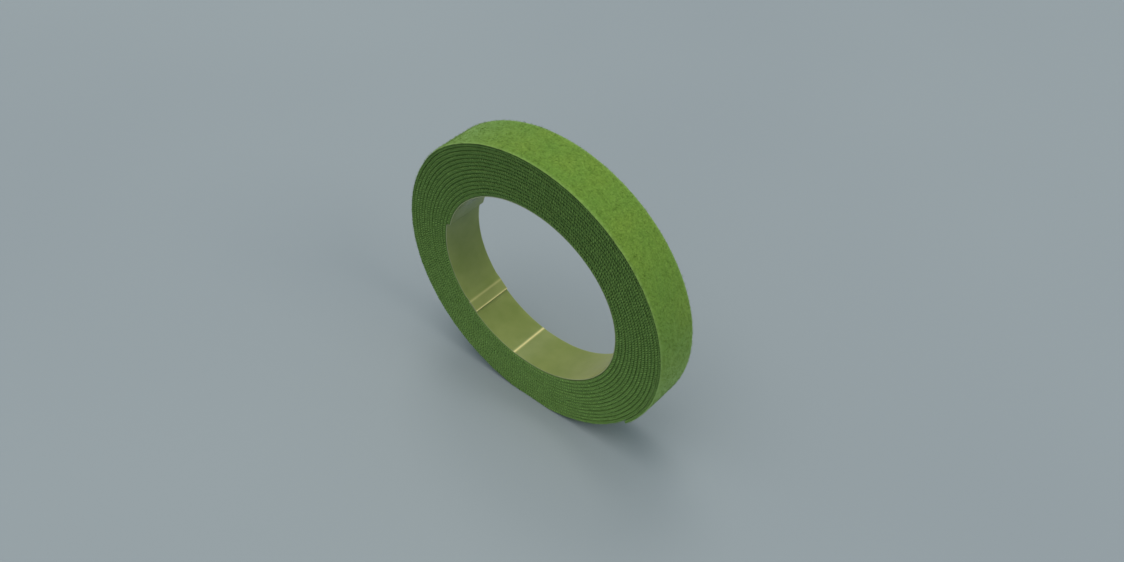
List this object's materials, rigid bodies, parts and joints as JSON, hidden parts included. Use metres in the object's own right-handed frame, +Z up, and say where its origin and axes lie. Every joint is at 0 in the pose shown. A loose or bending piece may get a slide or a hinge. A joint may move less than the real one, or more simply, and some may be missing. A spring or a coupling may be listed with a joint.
{
  "type": "hook and loop tape roll",
  "caption": "Roll of back-to-back hook and loop tape, spirally wound on a clear film core strip, standing on its rim, with a free end that peels off.",
  "frame": {"origin": "on the floor, in the middle of the flat that the roll stands on, straight below its axis", "axes": "+Y along the roll's axis, away from the front face; +Z up; +X to the right seen from the front"},
  "size_m": [0.128, 0.019, 0.1267],
  "materials": {
    "loop_pile": "napped nylon loops",
    "hook_face": "moulded hooks on a matt web",
    "clear_film": "clear glossy film"
  },
  "bodies": {
    "roll": {"core_strip": "clear_film", "hook_web": "hook_face", "loop_web": "loop_pile"},
    "free_end": {"free_end_hook_web": "hook_face", "free_end_loop_web": "loop_pile"}
  },
  "joints": [
    {"name": "free_end_peel", "type": "hinge", "parent": "roll", "child": "free_end", "pos_m": [0.06308, 0, 0.04945], "axis": [0, -1, 0], "range_deg": [0, 90]}
  ]
}
